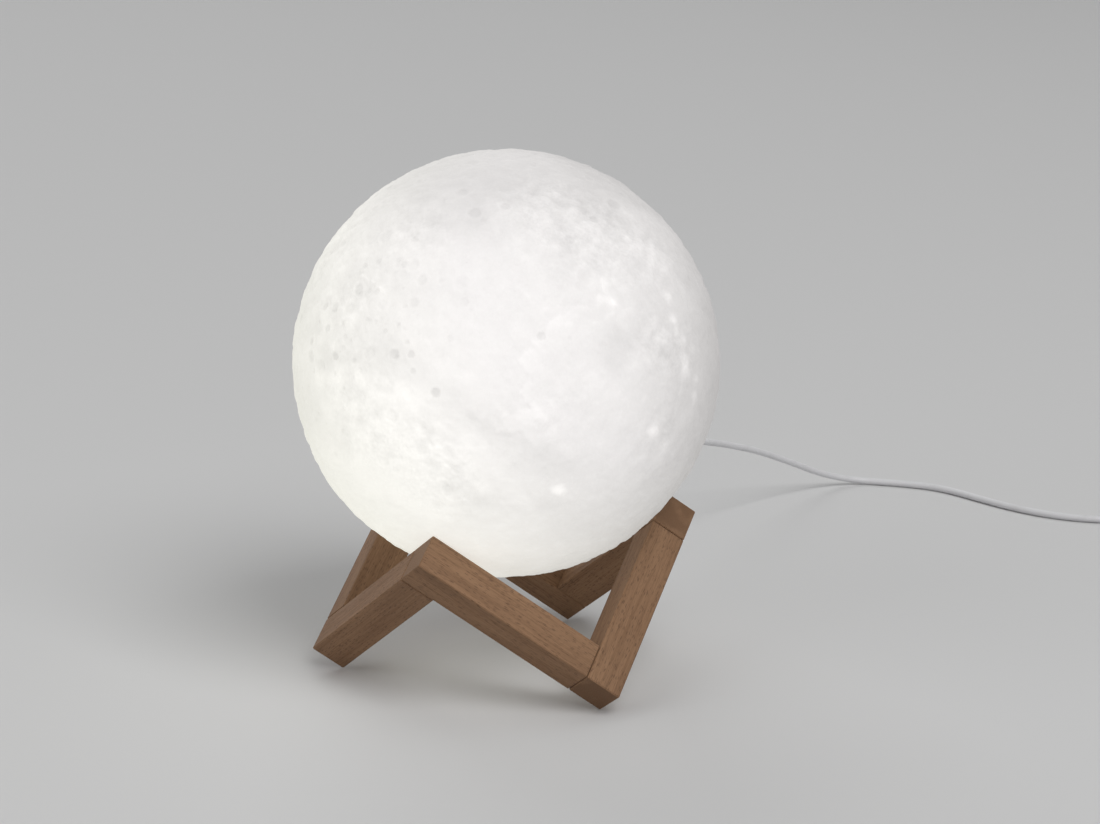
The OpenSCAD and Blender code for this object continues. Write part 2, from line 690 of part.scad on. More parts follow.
front_bar();
right_bar();
back_right_bar();
back_bar();
back_left_bar();
left_bar();
corner_dowels();
globe_shell();
neck_ring();
module_housing();
touch_ring();
touch_contact();
power_socket();
indicator_lens();
control_board();
battery_cell();
battery_pad();
inner_cap();
cap_screws();
led_board();
led_chips();
light_diffuser();
module_wires();
plug_barrel();
plug_grip();
plug_strain_relief();
cord_lead();
cord_coil();
cord_tie();
usb_grip();
usb_shell();
usb_insert();
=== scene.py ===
"""Moon lamp on a ring of beech bars: camera, light, materials and the pieces that the frame lacks."""
import json
import math

import bmesh
import bpy
import numpy as np
from mathutils import Matrix, Vector


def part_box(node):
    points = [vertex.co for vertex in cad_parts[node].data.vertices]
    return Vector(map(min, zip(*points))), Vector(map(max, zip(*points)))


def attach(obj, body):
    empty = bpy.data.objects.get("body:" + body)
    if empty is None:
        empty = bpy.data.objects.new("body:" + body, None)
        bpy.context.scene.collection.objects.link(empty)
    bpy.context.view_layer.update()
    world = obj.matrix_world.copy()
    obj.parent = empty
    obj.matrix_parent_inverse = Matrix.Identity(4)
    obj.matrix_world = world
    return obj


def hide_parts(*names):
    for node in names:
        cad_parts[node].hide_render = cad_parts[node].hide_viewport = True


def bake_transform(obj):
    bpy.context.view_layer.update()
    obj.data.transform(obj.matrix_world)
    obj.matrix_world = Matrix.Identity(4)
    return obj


MM = 0.001

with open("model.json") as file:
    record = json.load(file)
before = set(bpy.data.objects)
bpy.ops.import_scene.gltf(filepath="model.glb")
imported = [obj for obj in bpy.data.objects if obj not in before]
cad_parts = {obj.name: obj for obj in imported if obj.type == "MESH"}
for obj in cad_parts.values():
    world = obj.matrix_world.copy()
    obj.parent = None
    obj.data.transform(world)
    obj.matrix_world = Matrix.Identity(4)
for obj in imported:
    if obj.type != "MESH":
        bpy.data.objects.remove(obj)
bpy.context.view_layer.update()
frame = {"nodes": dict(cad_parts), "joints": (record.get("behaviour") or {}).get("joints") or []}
nodes = frame["nodes"]

# ---- Sizes that the frame gives ---------------------------------------------
shell_low, shell_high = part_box("globe_shell")
GLOBE_R = (shell_high.z - shell_low.z) / 2
GLOBE_C = Vector((0, 0, (shell_high.z + shell_low.z) / 2))
plug_joint = next(j for j in frame["joints"] if j["name"] == "plug_pull")
MODULE_DIR = Vector(plug_joint["axis"]).normalized()


def direction(az, el):
    """Unit vector at azimuth az and height angle el, in degrees."""
    a, e = math.radians(az), math.radians(el)
    return Vector((math.cos(e) * math.cos(a), math.cos(e) * math.sin(a), math.sin(e)))


# ---- Camera -----------------------------------------------------------------
FRAME_PX = 1100          # width of the photograph's frame
FOCAL_PX = 3000          # focal length in its pixels
SENSOR_MM = 36
CAMERA_AT = Vector((-95.85, -1025.34, 354.43)) * MM
HEADING, PITCH, ROLL = 83.79, 14.18, 0.76


def make_camera():
    """The camera that was fitted to the globe's outline and the bars' corners."""
    data = bpy.data.cameras.new("camera")
    data.sensor_width = SENSOR_MM
    data.lens = FOCAL_PX / FRAME_PX * SENSOR_MM
    data.clip_start, data.clip_end = 0.05, 60
    camera = bpy.data.objects.new("camera", data)
    turn = (
        Matrix.Rotation(math.radians(HEADING - 90), 4, "Z")
        @ Matrix.Rotation(math.radians(90 - PITCH), 4, "X")
        @ Matrix.Rotation(math.radians(ROLL), 4, "Z")
    )
    camera.matrix_world = Matrix.Translation(CAMERA_AT) @ turn
    bpy.context.scene.collection.objects.link(camera)
    bpy.context.scene.camera = camera


# ---- Node graphs ------------------------------------------------------------
class Graph:
    """A material's node tree, with short calls that add a node and give its output."""

    def __init__(self, name):
        self.material = bpy.data.materials.new(name)
        self.material.use_nodes = True
        self.tree = self.material.node_tree
        self.shader = self.tree.nodes["Principled BSDF"]

    def put(self, node, key, value):
        socket = node.inputs[key]
        if isinstance(value, bpy.types.NodeSocket):
            self.tree.links.new(value, socket)
        else:
            socket.default_value = value

    def add(self, kind, inputs=(), out=0, **settings):
        node = self.tree.nodes.new("ShaderNode" + kind)
        for key, value in settings.items():
            setattr(node, key, value)
        for key, value in dict(inputs).items():
            self.put(node, key, value)
        return node.outputs[out]

    def set(self, **inputs):
        for key, value in inputs.items():
            self.put(self.shader, key.replace("_", " "), value)

    def maths(self, operation, a, b=0.0, clamp=False):
        return self.add("Math", {0: a, 1: b}, operation=operation, use_clamp=clamp)

    def dot(self, a, b):
        return self.add("VectorMath", {0: a, 1: b}, out="Value", operation="DOT_PRODUCT")

    def span(self, value, low, high, to_low=0.0, to_high=1.0, smooth=True):
        """value from low..high to to_low..to_high, held at the ends."""
        inputs = {0: value, 1: low, 2: high, 3: to_low, 4: to_high}
        kind = "SMOOTHSTEP" if smooth else "LINEAR"
        return self.add("MapRange", inputs, interpolation_type=kind)

    def mix(self, share, a, b):
        """Colour a to colour b."""
        inputs = {0: share, 6: a, 7: b}
        return self.add("Mix", inputs, out=2, data_type="RGBA")

    def noise(self, at, scale, detail=3.0, rough=0.5, out=0):
        inputs = {"Vector": at, "Scale": scale, "Detail": detail, "Roughness": rough}
        return self.add("TexNoise", inputs, out=out)

    def bump(self, height, strength, distance):
        return self.add("Bump", {"Height": height, "Strength": strength, "Distance": distance})

    def place(self):
        return self.add("TexCoord", out="Object")


def colour(r, g, b):
    return (r, g, b, 1.0)


# ---- Materials --------------------------------------------------------------
GLOBE_LAYERS = ("glow", "painted_cool_shade", "rough")     # values that the globe's mesh carries
WARM_WHITE = colour(1.0, 0.99, 0.905)
# Painted shade: the greyer white of the shell's dim side.
SHADE_COOL_WHITE = colour(1.0, 0.975, 0.965)
LIT_STRENGTH = 0.6           # the shell's own light
LIT_BASE = 0.36              # its colour's share of that light's level


def beech(name, along, side, seed):
    """Oiled beech with its grain along one bar: streaks, fine pores, ray flecks and end grain."""
    g = Graph(name)
    third = along.cross(side)
    at = g.place()
    run, a, b = (g.maths("DIVIDE", g.dot(at, v), MM) for v in (along, side, third))

    def grain(run_scale, side_scale, shift):
        scaled = {}
        for k, (v, scale) in enumerate(((run, run_scale), (a, side_scale), (b, side_scale))):
            scaled[k] = g.maths("MULTIPLY_ADD", v, scale)
            scaled[k].node.inputs[2].default_value = seed + shift
        return g.add("CombineXYZ", scaled)

    broad = g.noise(grain(0.012, 0.16, 0.0), 1.0, 3.0, 0.55)
    lines = g.noise(grain(0.05, 2.2, 3.1), 1.0, 4.0, 0.6)
    pores = g.noise(grain(0.35, 5.0, 7.7), 1.0, 2.0, 0.6)
    cells = {"Vector": grain(0.33, 2.2, 11.0), "Scale": 1.0, "Randomness": 1.0}
    distance = g.add("TexVoronoi", cells, out="Distance")
    chance = g.add("TexVoronoi", cells, out="Color")
    chosen = g.span(g.add("SeparateColor", {0: chance}), 0.4, 0.55)
    fleck = g.maths("MULTIPLY", g.span(distance, 0.34, 0.2), chosen)

    tone = g.mix(g.span(broad, 0.3, 0.7), colour(0.305, 0.176, 0.098), colour(0.228, 0.128, 0.070))
    tone = g.mix(g.span(lines, 0.42, 0.75, 0.0, 0.45), tone, colour(0.135, 0.068, 0.034))
    tone = g.mix(g.maths("MULTIPLY", fleck, 0.7), tone, colour(0.085, 0.042, 0.024))
    tone = g.mix(g.span(pores, 0.54, 0.68, 0.0, 0.5), tone, colour(0.10, 0.052, 0.029))

    facing = g.maths("ABSOLUTE", g.dot(g.add("NewGeometry", out="True Normal"), along))
    end = g.span(facing, 0.9, 0.97)
    wave = {"Scale": 1.0, "Distortion": 3.0, "Detail": 3.0, "Detail Scale": 1.2}
    rings = g.add("TexWave", {"Vector": grain(0.0, 0.11, 5.0), **wave}, out="Fac")
    dots = g.noise(grain(0.0, 4.5, 2.0), 1.0, 2.0, 0.7)
    end_tone = g.mix(g.span(rings, 0.2, 0.8), colour(0.235, 0.134, 0.074), colour(0.18, 0.099, 0.053))
    end_tone = g.mix(g.span(dots, 0.5, 0.68, 0.0, 0.6), end_tone, colour(0.08, 0.036, 0.018))
    g.set(Base_Color=g.mix(end, tone, end_tone))

    height = g.maths("SUBTRACT", g.maths("MULTIPLY", lines, 0.4), fleck)
    g.set(
        Roughness=g.span(lines, 0.3, 0.7, 0.56, 0.7),
        Normal=g.bump(height, 0.5, 0.1 * MM),
        Specular_IOR_Level=0.22,
    )
    return g.material


def plastic(name, tone, rough=0.35, grain=0.02, scale=2500.0):
    """Moulded plastic: a fine texture and slightly uneven gloss."""
    g = Graph(name)
    at = g.place()
    fine = g.noise(at, scale, 2.0)
    wide = g.noise(at, 60.0, 2.0)
    dim = colour(*[c * 0.93 for c in tone])
    g.set(
        Base_Color=g.mix(g.span(wide, 0.35, 0.65), colour(*tone), dim),
        Roughness=g.span(wide, 0.3, 0.7, rough - 0.05, rough + 0.07),
        Normal=g.bump(fine, 0.25, grain * MM),
    )
    return g.material


def jacket(name):
    """The lead's soft white jacket, with faint marks from drawing and handling."""
    g = Graph(name)
    at = g.place()
    fine = g.noise(at, 1800.0, 3.0)
    marks = g.noise(at, 90.0, 4.0, 0.65)
    clean, handled = colour(0.68, 0.675, 0.69), colour(0.56, 0.555, 0.56)
    g.set(
        Base_Color=g.mix(g.span(marks, 0.5, 0.75, 0.0, 0.6), clean, handled),
        Roughness=g.span(marks, 0.3, 0.7, 0.38, 0.5),
        Normal=g.bump(fine, 0.3, 0.03 * MM),
    )
    return g.material


def metal(name, tone, rough, brushed=None):
    """Plated or drawn metal. brushed is the axis that its fine turning marks go round."""
    g = Graph(name)
    at = g.place()
    if brushed:
        offset = g.add("VectorMath", {0: at, 1: GLOBE_C}, operation="SUBTRACT")
        height = g.dot(offset, brushed)
        length = g.add("VectorMath", {0: offset}, out="Value", operation="LENGTH")
        squares = (g.maths("MULTIPLY", v, v) for v in (length, height))
        radius = g.maths("SQRT", g.maths("SUBTRACT", *squares))
        at = g.add("CombineXYZ", {0: radius, 1: height})
    marks = g.noise(at, 6000.0 if brushed else 900.0, 3.0, 0.6)
    wide = g.noise(g.place(), 150.0, 3.0)
    g.set(
        Base_Color=colour(*tone),
        Metallic=1.0,
        Roughness=g.span(wide, 0.3, 0.7, rough * 0.8, rough * 1.3),
        Normal=g.bump(marks, 0.15, 0.02 * MM),
    )
    return g.material


def woven(name, tone):
    """Hook-and-loop strap: short crossing threads."""
    g = Graph(name)
    at = g.place()
    threads = g.add("TexWave", {"Vector": at, "Scale": 900.0, "Distortion": 2.0}, out="Fac")
    fuzz = g.noise(at, 3000.0, 3.0)
    lit = colour(*[c * 2.2 for c in tone])
    g.set(
        Base_Color=g.mix(g.maths("MULTIPLY", threads, fuzz), colour(*tone), lit),
        Roughness=0.9,
        Sheen_Weight=0.4,
        Normal=g.bump(g.maths("ADD", threads, fuzz), 0.6, 0.12 * MM),
    )
    return g.material


def circuit(name):
    """Green solder mask with tracks under it."""
    g = Graph(name)
    at = g.place()
    tracks = g.add("TexVoronoi", {"Vector": at, "Scale": 700.0}, out="Distance", distance="CHEBYCHEV")
    lit = g.span(tracks, 0.36, 0.4)
    g.set(
        Base_Color=g.mix(lit, colour(0.02, 0.14, 0.055), colour(0.035, 0.22, 0.09)),
        Roughness=g.span(g.noise(at, 300.0), 0.3, 0.7, 0.25, 0.4),
        Normal=g.bump(lit, 0.4, 0.03 * MM),
    )
    return g.material


def glowing(name, tone, strength):
    """Phosphor of a lit diode, brighter in the middle of its grain."""
    g = Graph(name)
    speck = g.noise(g.place(), 4000.0, 2.0)
    lit = g.mix(speck, colour(*tone), colour(1, 1, 0.9))
    g.set(Base_Color=lit, Emission_Color=lit, Emission_Strength=strength, Roughness=0.3)
    return g.material


def printed(name):
    """The globe's printed shell, lit from inside. The mesh carries its own glow, with painted shade and
    painted light in it, and a tint that is cooler where shade is painted.
    """
    g = Graph(name)
    at = g.place()
    glow, painted_cool_shade, rough = (
        g.add("Attribute", out="Fac", attribute_name=layer) for layer in GLOBE_LAYERS
    )
    cloud = g.noise(at, 95.0, 6.0, 0.62)
    speck = g.noise(at, 900.0, 3.0, 0.6)
    clouds = g.span(cloud, 0.25, 0.75, -0.045, 0.03, smooth=False)
    clouds = g.maths("MULTIPLY", clouds, g.span(rough, 0.0, 1.0, 0.35, 1.0, smooth=False))
    specks = g.span(speck, 0.3, 0.7, -0.045, 0.045, smooth=False)
    specks = g.maths("MULTIPLY", specks, g.span(rough, 0.0, 1.0, 0.25, 1.0, smooth=False))
    # The glow's painted shade and painted light, and the painted cooler tint, go into both the emission
    # and the base colour.
    level = g.maths("MULTIPLY", glow, g.maths("ADD", g.maths("ADD", clouds, 1.0), specks))
    tint = g.mix(painted_cool_shade, WARM_WHITE, SHADE_COOL_WHITE)
    light = g.add("VectorMath", {0: tint, "Scale": level}, operation="SCALE")
    base = g.add("VectorMath", {0: light, "Scale": LIT_BASE}, operation="SCALE")

    inputs = {"Vector": at, "Scale": 800.0, "Distortion": 0.0}
    layers = g.add("TexWave", inputs, out="Fac", bands_direction="Z")
    height = g.maths("ADD", g.maths("MULTIPLY", layers, 0.15), speck)
    g.set(
        Base_Color=base,
        Emission_Color=light,
        Emission_Strength=LIT_STRENGTH,
        Roughness=0.62,
        Specular_IOR_Level=0.3,
        Normal=g.bump(height, 0.35, 0.12 * MM),
    )
    return g.material


# ---- The globe --------------------------------------------------------------
SHELL_WALL = 2.2 * MM
NECK_R = 20.85 * MM          # hole for the neck ring
LIP_R = 22.55 * MM           # recess round it, for the ring's lip
RING_LIP_R = 22.5 * MM
LIP_DEPTH = 1.2 * MM
LIP_FLOOR = math.sqrt(GLOBE_R**2 - RING_LIP_R**2) - LIP_DEPTH   # height of the recess's floor
OUTSIDE_LEVEL = 8            # how often the ball's triangles are halved
INSIDE_LEVEL = 5
RELIEF_LOW = 0.55            # deepest and highest points of the relief in mm
RELIEF_HIGH = 0.45
# The relief fades out to the module and to the three places where the globe rests on the stand:
# angle without relief and width of the fade, in degrees
MODULE_FADE = (18.5, 3.0)
SEAT_FADE = (4, 5)
SEATS = [(0, -40), (120, -40), (240, -40)]

# Craters that stand out: azimuth, height angle, radius in mm, depth and darkness from 0 to 1
CRATERS = [
    (-126, 13.5, 2.0, 1.0, 1.0), (-121, 14, 1.5, 0.9, 1.0), (-113.5, 5, 1.9, 1.0, 1.15),
    (-122.5, 17, 1.1, 0.7, 0.8), (-120, 10, 1.2, 0.7, 0.8), (-110.5, 19, 1.4, 0.5, 0.45),
    (-146.5, 10, 1.9, 0.9, 0.95), (-152.5, 16, 1.8, 0.8, 0.95), (-144.5, 28, 1.9, 0.9, 0.8),
    (-144, 43.5, 3.2, 0.7, 0.45), (-130, 37, 1.5, 0.8, 0.7), (-146, 34.5, 1.3, 0.8, 0.8),
    (-96.5, 57.5, 1.9, 1.0, 0.9), (-153, 5.5, 3.2, 0.6, 0.35), (-126, 5.5, 1.7, 0.5, 0.35),
    (-86, 20, 1.7, 0.8, 0.8), (-121, 62, 2.6, 0.5, 0.45), (-110, 55, 2.4, 0.6, 0.6),
    (-128, 49.5, 2.4, 0.5, 0.45), (-131, 44.5, 1.5, 0.6, 0.5), (-133, 25.5, 2.4, 0.5, 0.35),
    (-52, 17.5, 1.8, 0.6, 0.3), (-51, 22.5, 1.3, 0.7, 0.4), (-57, 51.5, 1.9, 0.8, 0.8),
    (-46, 8, 2.0, 0.6, 0.4), (-126, 21, 1.1, 0.7, 0.85), (-130, 19, 1.1, 0.7, 0.8),
    (-139, 10, 1.2, 0.7, 0.8), (-146, 18.5, 1.2, 0.7, 0.8), (-137, 21, 1.0, 0.7, 0.7),
    (-160, 11, 1.6, 0.8, 0.9), (-157, 21, 1.7, 0.8, 0.9), (-136.5, 28.5, 1.6, 0.6, 0.6),
    (-107.5, 28.5, 1.7, 0.4, 0.3), (-141, 36.5, 1.3, 0.7, 0.7), (-72, 46, 2.0, 0.6, 0.6),
    (-38, 55, 3.0, 0.7, 0.7), (-132, -11, 2.0, 0.4, 0.3), (-112, -20, 1.6, 0.5, 0.4),
]
# Soft dark seas and bands: azimuth, height angle, reach in degrees, darkness
SEAS = [
    (-149, 9, 7, 0.03), (-130, 11.5, 6.5, 0.03), (-121, 11, 5.5, 0.02), (-66, 14.5, 5.0, 0.09),
    (-73, 41, 6, 0.07), (-57, 30, 12, 0.02), (-97, -25, 9, 0.03), (-48, 2, 12, 0.03),
    (-107, 50, 5, 0.05), (-112, 58, 4, 0.04), (-60, 50, 5, 0.04), (-47, 52, 6, 0.05),
    (-137, -12, 7, 0.03), (-113, -12, 4, 0.05), (-112, -20, 5, 0.05), (-82, -13, 4, 0.015),
    (40, 20, 16, 0.06), (75, 35, 14, 0.06), (120, 5, 18, 0.06), (160, 30, 14, 0.05),
    (10, -10, 15, 0.05), (-170, -12, 14, 0.04), (95, -35, 12, 0.04),
]
# Bright spots: azimuth, height angle, reach in degrees, brightness
LIGHTS = [
    (-80.8, -21, 1.1, 0.16), (-80.2, -22.4, 0.8, 0.12), (-53, -8, 1.5, 0.15), (-53.5, -6.6, 1.2, 0.10),
    (-43, 20, 1.3, 0.17), (-41.5, 26, 1.2, 0.13), (-41.5, 9, 1.4, 0.15), (-41, 6, 1.5, 0.15),
    (-50.5, 16, 1.1, 0.10), (-48, 15, 0.9, 0.08), (-37, -1, 1.2, 0.14), (-36, 3, 1.1, 0.12),
    (-64, 27, 1.3, 0.11), (-67.5, 28.5, 1.1, 0.09), (-61, 33, 1.0, 0.06), (-113, -19, 1.4, 0.09),
    (-40, 14, 1.0, 0.10), (-38, 33, 1.4, 0.08), (-66, -2, 1.5, 0.05), (-48, -13, 1.6, 0.07),
    (-78, 44, 1.6, 0.07), (-84, 48, 1.3, 0.05), (-61, 45, 1.0, 0.07), (-93, 56, 1.8, 0.05),
    (-99, 58, 1.2, 0.07), (-143, 6, 2.2, 0.08), (-153, 3, 2.5, 0.08), (-147, 4, 1.8, 0.06),
    (-122, 3, 2.4, 0.05), (-160, 32, 4.0, 0.05), (-150, 37, 3.0, 0.04), (-131, -18, 4, 0.02),
    (-125, -25, 5, 0.04), (-137, -22, 4, 0.03), (-57, 38, 2.4, 0.04), (-40, -6, 3, 0.06),
]
# Bright ridges with a crisp edge on one side: their points, half width in degrees and brightness
RIDGES = [
    ([(-80, 24.5), (-84, 21.5), (-87.5, 18), (-91, 15), (-89.5, 10.5), (-91.5, 5.5), (-90.5, 2.5)],
     2.0, 0.05),
    ([(-90.5, 2.5), (-95.5, 0), (-96.5, -3.5), (-91, -6)], 2.0, 0.05),
    ([(-91, 2.6), (-88, 0.6), (-85.4, -1.1), (-84.5, -6)], 1.6, 0.045),
    ([(-64, 38), (-65, 33.5), (-65.5, 29.5), (-63.5, 27)], 1.0, 0.09),
    ([(-70.5, 26.5), (-78, 28), (-85, 27)], 0.7, 0.04),
    ([(-132.5, 28.5), (-139, 30.5), (-145, 32)], 0.6, 0.07),
    ([(-58, 25), (-64, 24.5), (-72, 22), (-79, 23)], 0.9, 0.035),
    ([(-45, 30), (-42, 20), (-42, 8), (-46, -4)], 1.2, 0.045),
]
# Soft dark bands: their points, half width in degrees and darkness
BANDS = [
    ([(-152, 8), (-140, 10.5), (-128, 11), (-118, 9), (-110, 4), (-104, -1.5), (-98, -5),
      (-91, -9.5), (-80, -16)], 3.6, 0.05),
    ([(-104, -1.5), (-100, -3.6), (-96, -5.2)], 1.5, 0.04),
    ([(-104, -24), (-94, -26), (-82, -27)], 3.0, 0.03),
]
# Parts whose surface is rough or streaked: azimuth, height angle, reach in degrees, strength
ROUGH = [
    (-128, -10, 13, 1.0), (-114, -19, 10, 1.0), (-140, 2, 8, 0.5), (-62, 48, 14, 0.9), (-42, 12, 9, 0.8),
    (-40, 38, 12, 0.7), (-78, 58, 12, 0.7), (-132, 48, 10, 0.5), (-52, 15, 7, 0.6), (-48, -10, 9, 0.6),
    (-148, 24, 14, 0.5), (-85, 0, 6, 0.4), (20, -5, 16, 0.5), (35, 45, 14, 0.5), (95, 10, 18, 0.45),
    (110, 50, 14, 0.5), (150, 5, 16, 0.5), (-175, 40, 14, 0.4), (140, -40, 14, 0.4), (-20, -40, 12, 0.4),
]
CRATERED = direction(-146, 17)     # the side that the photograph shows full of small craters
SMALL_CRATERS = 620
BACK_CRATERS = 80
GOLDEN_ANGLE = 137.508
GOLDEN_SHARE = 0.618034
SEED = 20
# Azimuths and height angles
ACROSS = (-139, 18)                # the side across from the module, which is the brightest
HOT_SPOT = (-126, -10)             # the brightest part of it
FRONT = (-95, 13)                  # the side that the photograph shows, smoother in its middle
# Painted shade: the dim side, whose colour is tinted cooler.
PAINTED_COOL_SIDE = direction(-45, 35)


def ease(share):
    """0 to 1 with a soft start and end, held outside."""
    t = np.clip(share, 0, 1)
    return t * t * (3 - 2 * t)


WAVES = 9                    # sine waves in one octave of the noise
FINER = 1.9                  # how much finer and weaker each octave is than the one before
WEAKER = 1.7


def fractal(points, scale, seed, octaves=4):
    """Smooth noise on points, from sums of sine waves in seeded directions, between about -1 and 1."""
    rng = np.random.default_rng(seed)
    total = np.zeros(len(points))
    for octave in range(octaves):
        finer = scale * FINER**octave
        heads = rng.normal(size=(WAVES, 3))
        heads *= finer / np.linalg.norm(heads, axis=1)[:, None]
        phases = rng.uniform(0, 2 * math.pi, WAVES)
        warp = 1.3 * np.sin(points[:, [1, 2, 0]] * finer * 0.6 + phases[:3])
        waves = np.sin((points + warp / finer) @ heads.T + phases)
        total += waves.mean(1) * 2.4 / WEAKER**octave
    return total


def small_craters():
    """Seeded craters: many small, few large, and more of them on the cratered side."""
    rng = np.random.default_rng(SEED)
    made = []
    while len(made) < SMALL_CRATERS:
        at = rng.normal(size=3)
        at /= np.linalg.norm(at)
        radius = 0.6 * rng.uniform(0.02, 1.0) ** -0.42
        front = 1.0 if at[1] < -0.2 else 0.0
        near = max(0.0, (float(at @ np.array(CRATERED)) - 0.72) / 0.28)
        likely = 0.06 + 0.94 * near if front else 0.45
        depth, dark, draw = rng.uniform(0.3, 1.0), rng.uniform(0.15, 0.8), rng.uniform()
        if draw < likely:
            made.append((at, min(radius, 4.2), depth, dark * (0.45 + 0.55 * likely)))
    return made


def back_craters():
    """The larger craters on the sides that the photograph doesn't show, spread at the golden angle."""
    low, high = math.sin(math.radians(-25)), math.sin(math.radians(75))
    made = []
    for k in range(BACK_CRATERS):
        az = (GOLDEN_ANGLE * k + 180) % 360 - 180
        el = math.degrees(math.asin(low + (high - low) * (k + 0.5) / BACK_CRATERS))
        share = k * GOLDEN_SHARE % 1
        if 3 < az < 177 or az < -163:
            made.append((az, el, 1.3 + 2.2 * share**2, 0.7, 0.35 + 0.5 * (1 - share)))
    return made


def angle_to(unit, az, el):
    """Angle in degrees from each unit vector to a direction."""
    return np.degrees(np.arccos(np.clip(unit @ np.array(direction(az, el)), -1, 1)))


def beside(unit, points, wobble):
    """Distance in degrees of each unit vector from a line: positive to the line's left."""
    nearest = np.full(len(unit), 180.0)
    aside = np.ones(len(unit))
    ends = [np.array(direction(*p)) for p in points]
    for a, b in zip(ends, ends[1:]):
        t = np.clip(((unit - a) @ (b - a)) / ((b - a) @ (b - a)), 0, 1)
        gap = np.degrees(np.linalg.norm(unit - (a + t[:, None] * (b - a)), axis=1))
        aside = np.where(gap < nearest, np.sign(unit @ np.cross(a, b)), aside)
        nearest = np.minimum(nearest, gap)
    return nearest * aside + wobble


def ridge_share(unit, points, width, wobble):
    """Share of a ridge along points: a crisp edge on the line's right, a soft slope on its left."""
    across = beside(unit, points, 0.5 * width * wobble)
    crisp = np.clip((0.3 * width + across) / (0.22 * width), 0, 1)
    return crisp * np.exp(-((np.clip(across, 0, None) / (1.5 * width)) ** 2))


def inner_light_and_painted_shade(unit):
    """Light that the module's dome throws on the shell, most on the side across from the module, with
    painted shade dimming the shell's limb and top and painted light brightening its underside.
    """
    near = np.exp(-((angle_to(unit, *HOT_SPOT) / 34) ** 2))
    angle = angle_to(unit, *ACROSS)
    # Less light away from the side across from the module: partly the module's light falling off, partly
    # painted shade on the shell's limb.
    far_falloff_and_painted_shade = ease((angle - 64) / 64) - 0.35 * ease((angle - 122) / 45)
    # Painted shade: the shell's top is darkened.
    top = ease((unit[:, 2] - 0.62) / 0.38)
    # Painted light: the underside, which the lamps leave in shade, is brightened.
    under = ease((-unit[:, 2] - 0.1) / 0.7) + 1.6 * ease((-unit[:, 2] - 0.5) / 0.4)
    return 1 + 0.19 * near - 0.44 * far_falloff_and_painted_shade - 0.23 * top + 0.06 * under


